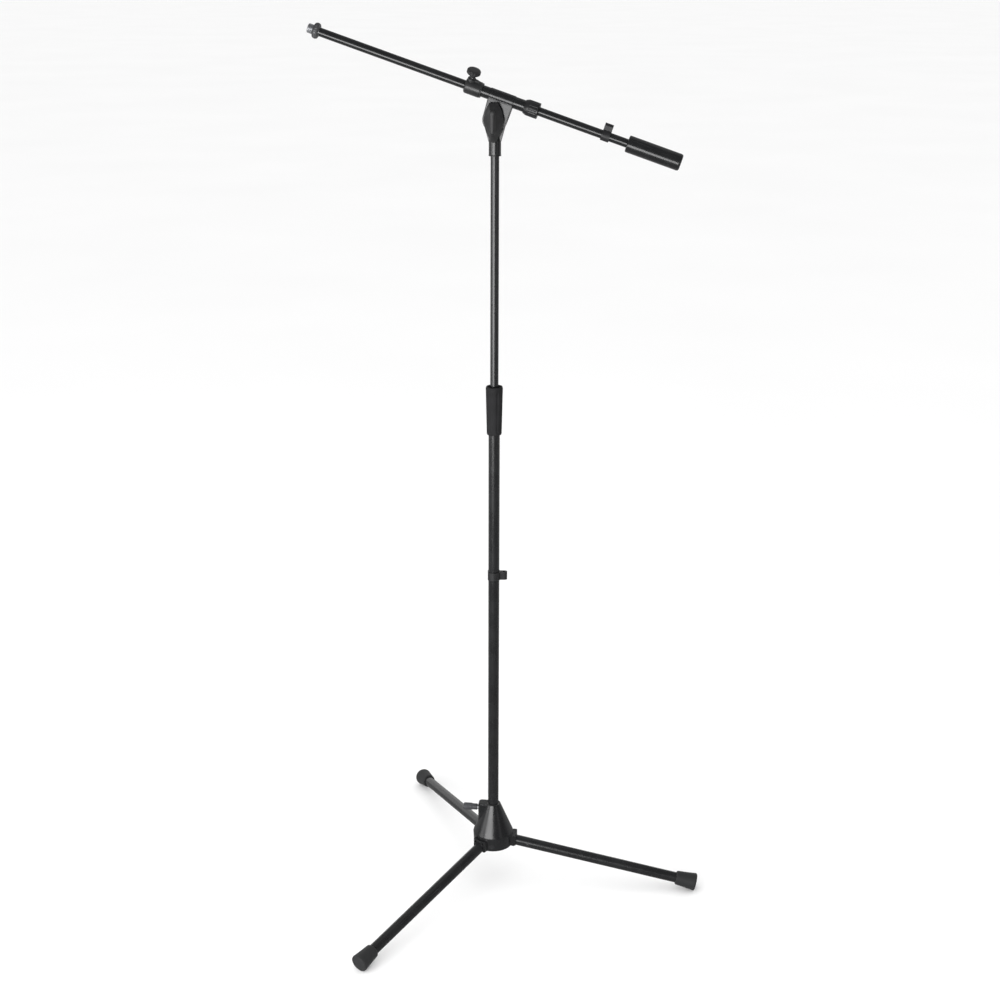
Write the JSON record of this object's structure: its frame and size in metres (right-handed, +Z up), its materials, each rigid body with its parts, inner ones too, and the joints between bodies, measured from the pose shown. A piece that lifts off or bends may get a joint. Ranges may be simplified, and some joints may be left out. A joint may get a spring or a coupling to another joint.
{
  "type": "boom microphone stand",
  "caption": "Tripod boom microphone stand: folding legs, telescopic column with a grip clutch, and a sliding boom with a counterweight and a microphone thread.",
  "frame": {"origin": "centre of the footprint on the floor; the column axis stands at X -40 mm, Y -20 mm", "axes": "+Z up the column; +X to the right of a person in front of the stand, towards the boom's counterweight; the microphone end points to -X"},
  "size_m": [0.7033, 0.6886, 1.5914],
  "materials": {
    "hub_black": "gloss",
    "tube_black": "semi-gloss",
    "cast_black": "gloss",
    "clamp_black": "satin",
    "grip_black": "matte",
    "knob_grey": "satin",
    "clip_black": "satin",
    "liner_grey": "matte",
    "foot_rubber": "matte",
    "zinc_steel": "satin",
    "brass_metal": "satin",
    "rivet_black": "satin",
    "weight_black": "satin",
    "washer_fibre": "matte"
  },
  "bodies": {
    "hub": {"hub_body": "hub_black", "hub_bush": "liner_grey", "leg_pivot_pins": "zinc_steel", "clamp_insert": "brass_metal", "clamp_pad": "brass_metal"},
    "hub_clamp": {"clamp_screw": "zinc_steel", "clamp_knob": "knob_grey"},
    "leg_right": {"leg_head_right": "clip_black", "leg_tube_right": "tube_black", "leg_foot_right": "foot_rubber", "leg_rivet_right": "rivet_black"},
    "leg_rear": {"leg_head_rear": "clip_black", "leg_tube_rear": "tube_black", "leg_foot_rear": "foot_rubber", "leg_rivet_rear": "rivet_black"},
    "leg_front": {"leg_head_front": "clip_black", "leg_tube_front": "tube_black", "leg_foot_front": "foot_rubber", "leg_rivet_front": "rivet_black"},
    "lower_column": {"lower_tube": "tube_black", "lower_tube_plug": "clip_black", "clutch_collar": "zinc_steel", "clutch_collet": "liner_grey"},
    "clutch": {"clutch_nut": "zinc_steel", "clutch_grip": "grip_black"},
    "lower_clip": {"lower_cable_clip": "clip_black"},
    "guide": {"guide_plug": "liner_grey"},
    "upper_column": {"upper_tube": "tube_black", "swivel_socket": "cast_black", "socket_pin": "zinc_steel", "pivot_bolt": "zinc_steel", "friction_washers": "washer_fibre"},
    "boom_head": {"boom_bracket": "cast_black", "boom_sleeve": "tube_black", "bracket_rivets": "rivet_black", "front_clamp": "clamp_black", "front_liner": "liner_grey", "clamp_tip": "brass_metal"},
    "wing": {"wing_knob": "grip_black", "wing_knob_nut": "zinc_steel"},
    "thumb": {"thumb_screw": "zinc_steel", "thumb_knob": "grip_black"},
    "collar": {"rear_collar": "grip_black"},
    "boom_liner": {"rear_bush": "liner_grey"},
    "boom": {"boom_rod": "tube_black", "thread_stud": "zinc_steel", "rod_end_cap": "clip_black", "counterweight": "weight_black", "weight_screw": "zinc_steel"},
    "mic_nut": {"lock_nut": "rivet_black"},
    "boom_clip": {"boom_cable_clip": "clip_black"}
  },
  "joints": [
    {"name": "leg_fold_right", "type": "hinge", "parent": "hub", "child": "leg_right", "pos_m": [-0.00924, -0.02389, 0.084], "axis": [0.1253, 0.9921, 0], "range_deg": [0, 79.21]},
    {"name": "leg_fold_rear", "type": "hinge", "parent": "hub", "child": "leg_rear", "pos_m": [-0.05201, 0.00858, 0.084], "axis": [-0.9219, -0.3875, 0], "range_deg": [0, 79.21]},
    {"name": "leg_fold_front", "type": "hinge", "parent": "hub", "child": "leg_front", "pos_m": [-0.05874, -0.04469, 0.084], "axis": [0.7965, -0.6046, 0], "range_deg": [0, 79.21]},
    {"name": "clamp_turn", "type": "hinge", "parent": "hub", "child": "hub_clamp", "pos_m": [-0.08465, -0.01436, 0.148], "axis": [-0.9921, 0.1253, 0], "range_deg": [0, 360]},
    {"name": "hub_slide", "type": "slide", "parent": "hub", "child": "lower_column", "axis": [0, 0, -1], "range_m": [0, 0.33]},
    {"name": "clutch_turn", "type": "hinge", "parent": "lower_column", "child": "clutch", "pos_m": [-0.04, -0.02, 0.94], "axis": [0, 0, 1], "range_deg": [0, 360]},
    {"name": "lower_clip_slide", "type": "slide", "parent": "lower_column", "child": "lower_clip", "axis": [0, 0, 1], "range_m": [-0.1, 0.24]},
    {"name": "height_slide", "type": "slide", "parent": "lower_column", "child": "guide", "axis": [0, 0, 1], "range_m": [-0.39, 0.25]},
    {"name": "column_turn", "type": "hinge", "parent": "guide", "child": "upper_column", "pos_m": [-0.04, -0.02, 0.7], "axis": [0, 0, 1], "continuous": true},
    {"name": "boom_tilt", "type": "hinge", "parent": "upper_column", "child": "boom_head", "pos_m": [-0.04, -0.02, 1.4406], "axis": [0.1461, 0.9893, 0], "range_deg": [-105, 68.5]},
    {"name": "wing_turn", "type": "hinge", "parent": "upper_column", "child": "wing", "pos_m": [-0.04292, -0.03979, 1.4406], "axis": [-0.1461, -0.9893, 0], "range_deg": [0, 360]},
    {"name": "thumb_turn", "type": "hinge", "parent": "boom_head", "child": "thumb", "pos_m": [-0.07646, -0.02153, 1.5109], "axis": [0.2435, -0.3817, 0.8917], "range_deg": [0, 360]},
    {"name": "collar_turn", "type": "hinge", "parent": "boom_head", "child": "collar", "pos_m": [0.01836, -0.02862, 1.45955], "axis": [0.9387, -0.1386, -0.3156], "range_deg": [0, 180]},
    {"name": "boom_turn", "type": "hinge", "parent": "boom_head", "child": "boom_liner", "pos_m": [0.01367, -0.02793, 1.46112], "axis": [-0.9387, 0.1386, 0.3156], "continuous": true},
    {"name": "boom_slide", "type": "slide", "parent": "boom_liner", "child": "boom", "axis": [-0.9387, 0.1386, 0.3156], "range_m": [-0.24, 0.105]},
    {"name": "mic_nut_turn", "type": "hinge", "parent": "boom", "child": "mic_nut", "pos_m": [-0.33646, 0.02378, 1.57886], "axis": [-0.9387, 0.1386, 0.3156], "range_deg": [0, 360]},
    {"name": "boom_clip_slide", "type": "slide", "parent": "boom", "child": "boom_clip", "axis": [0.9387, -0.1386, -0.3156], "range_m": [-0.08, 0.028]}
  ]
}
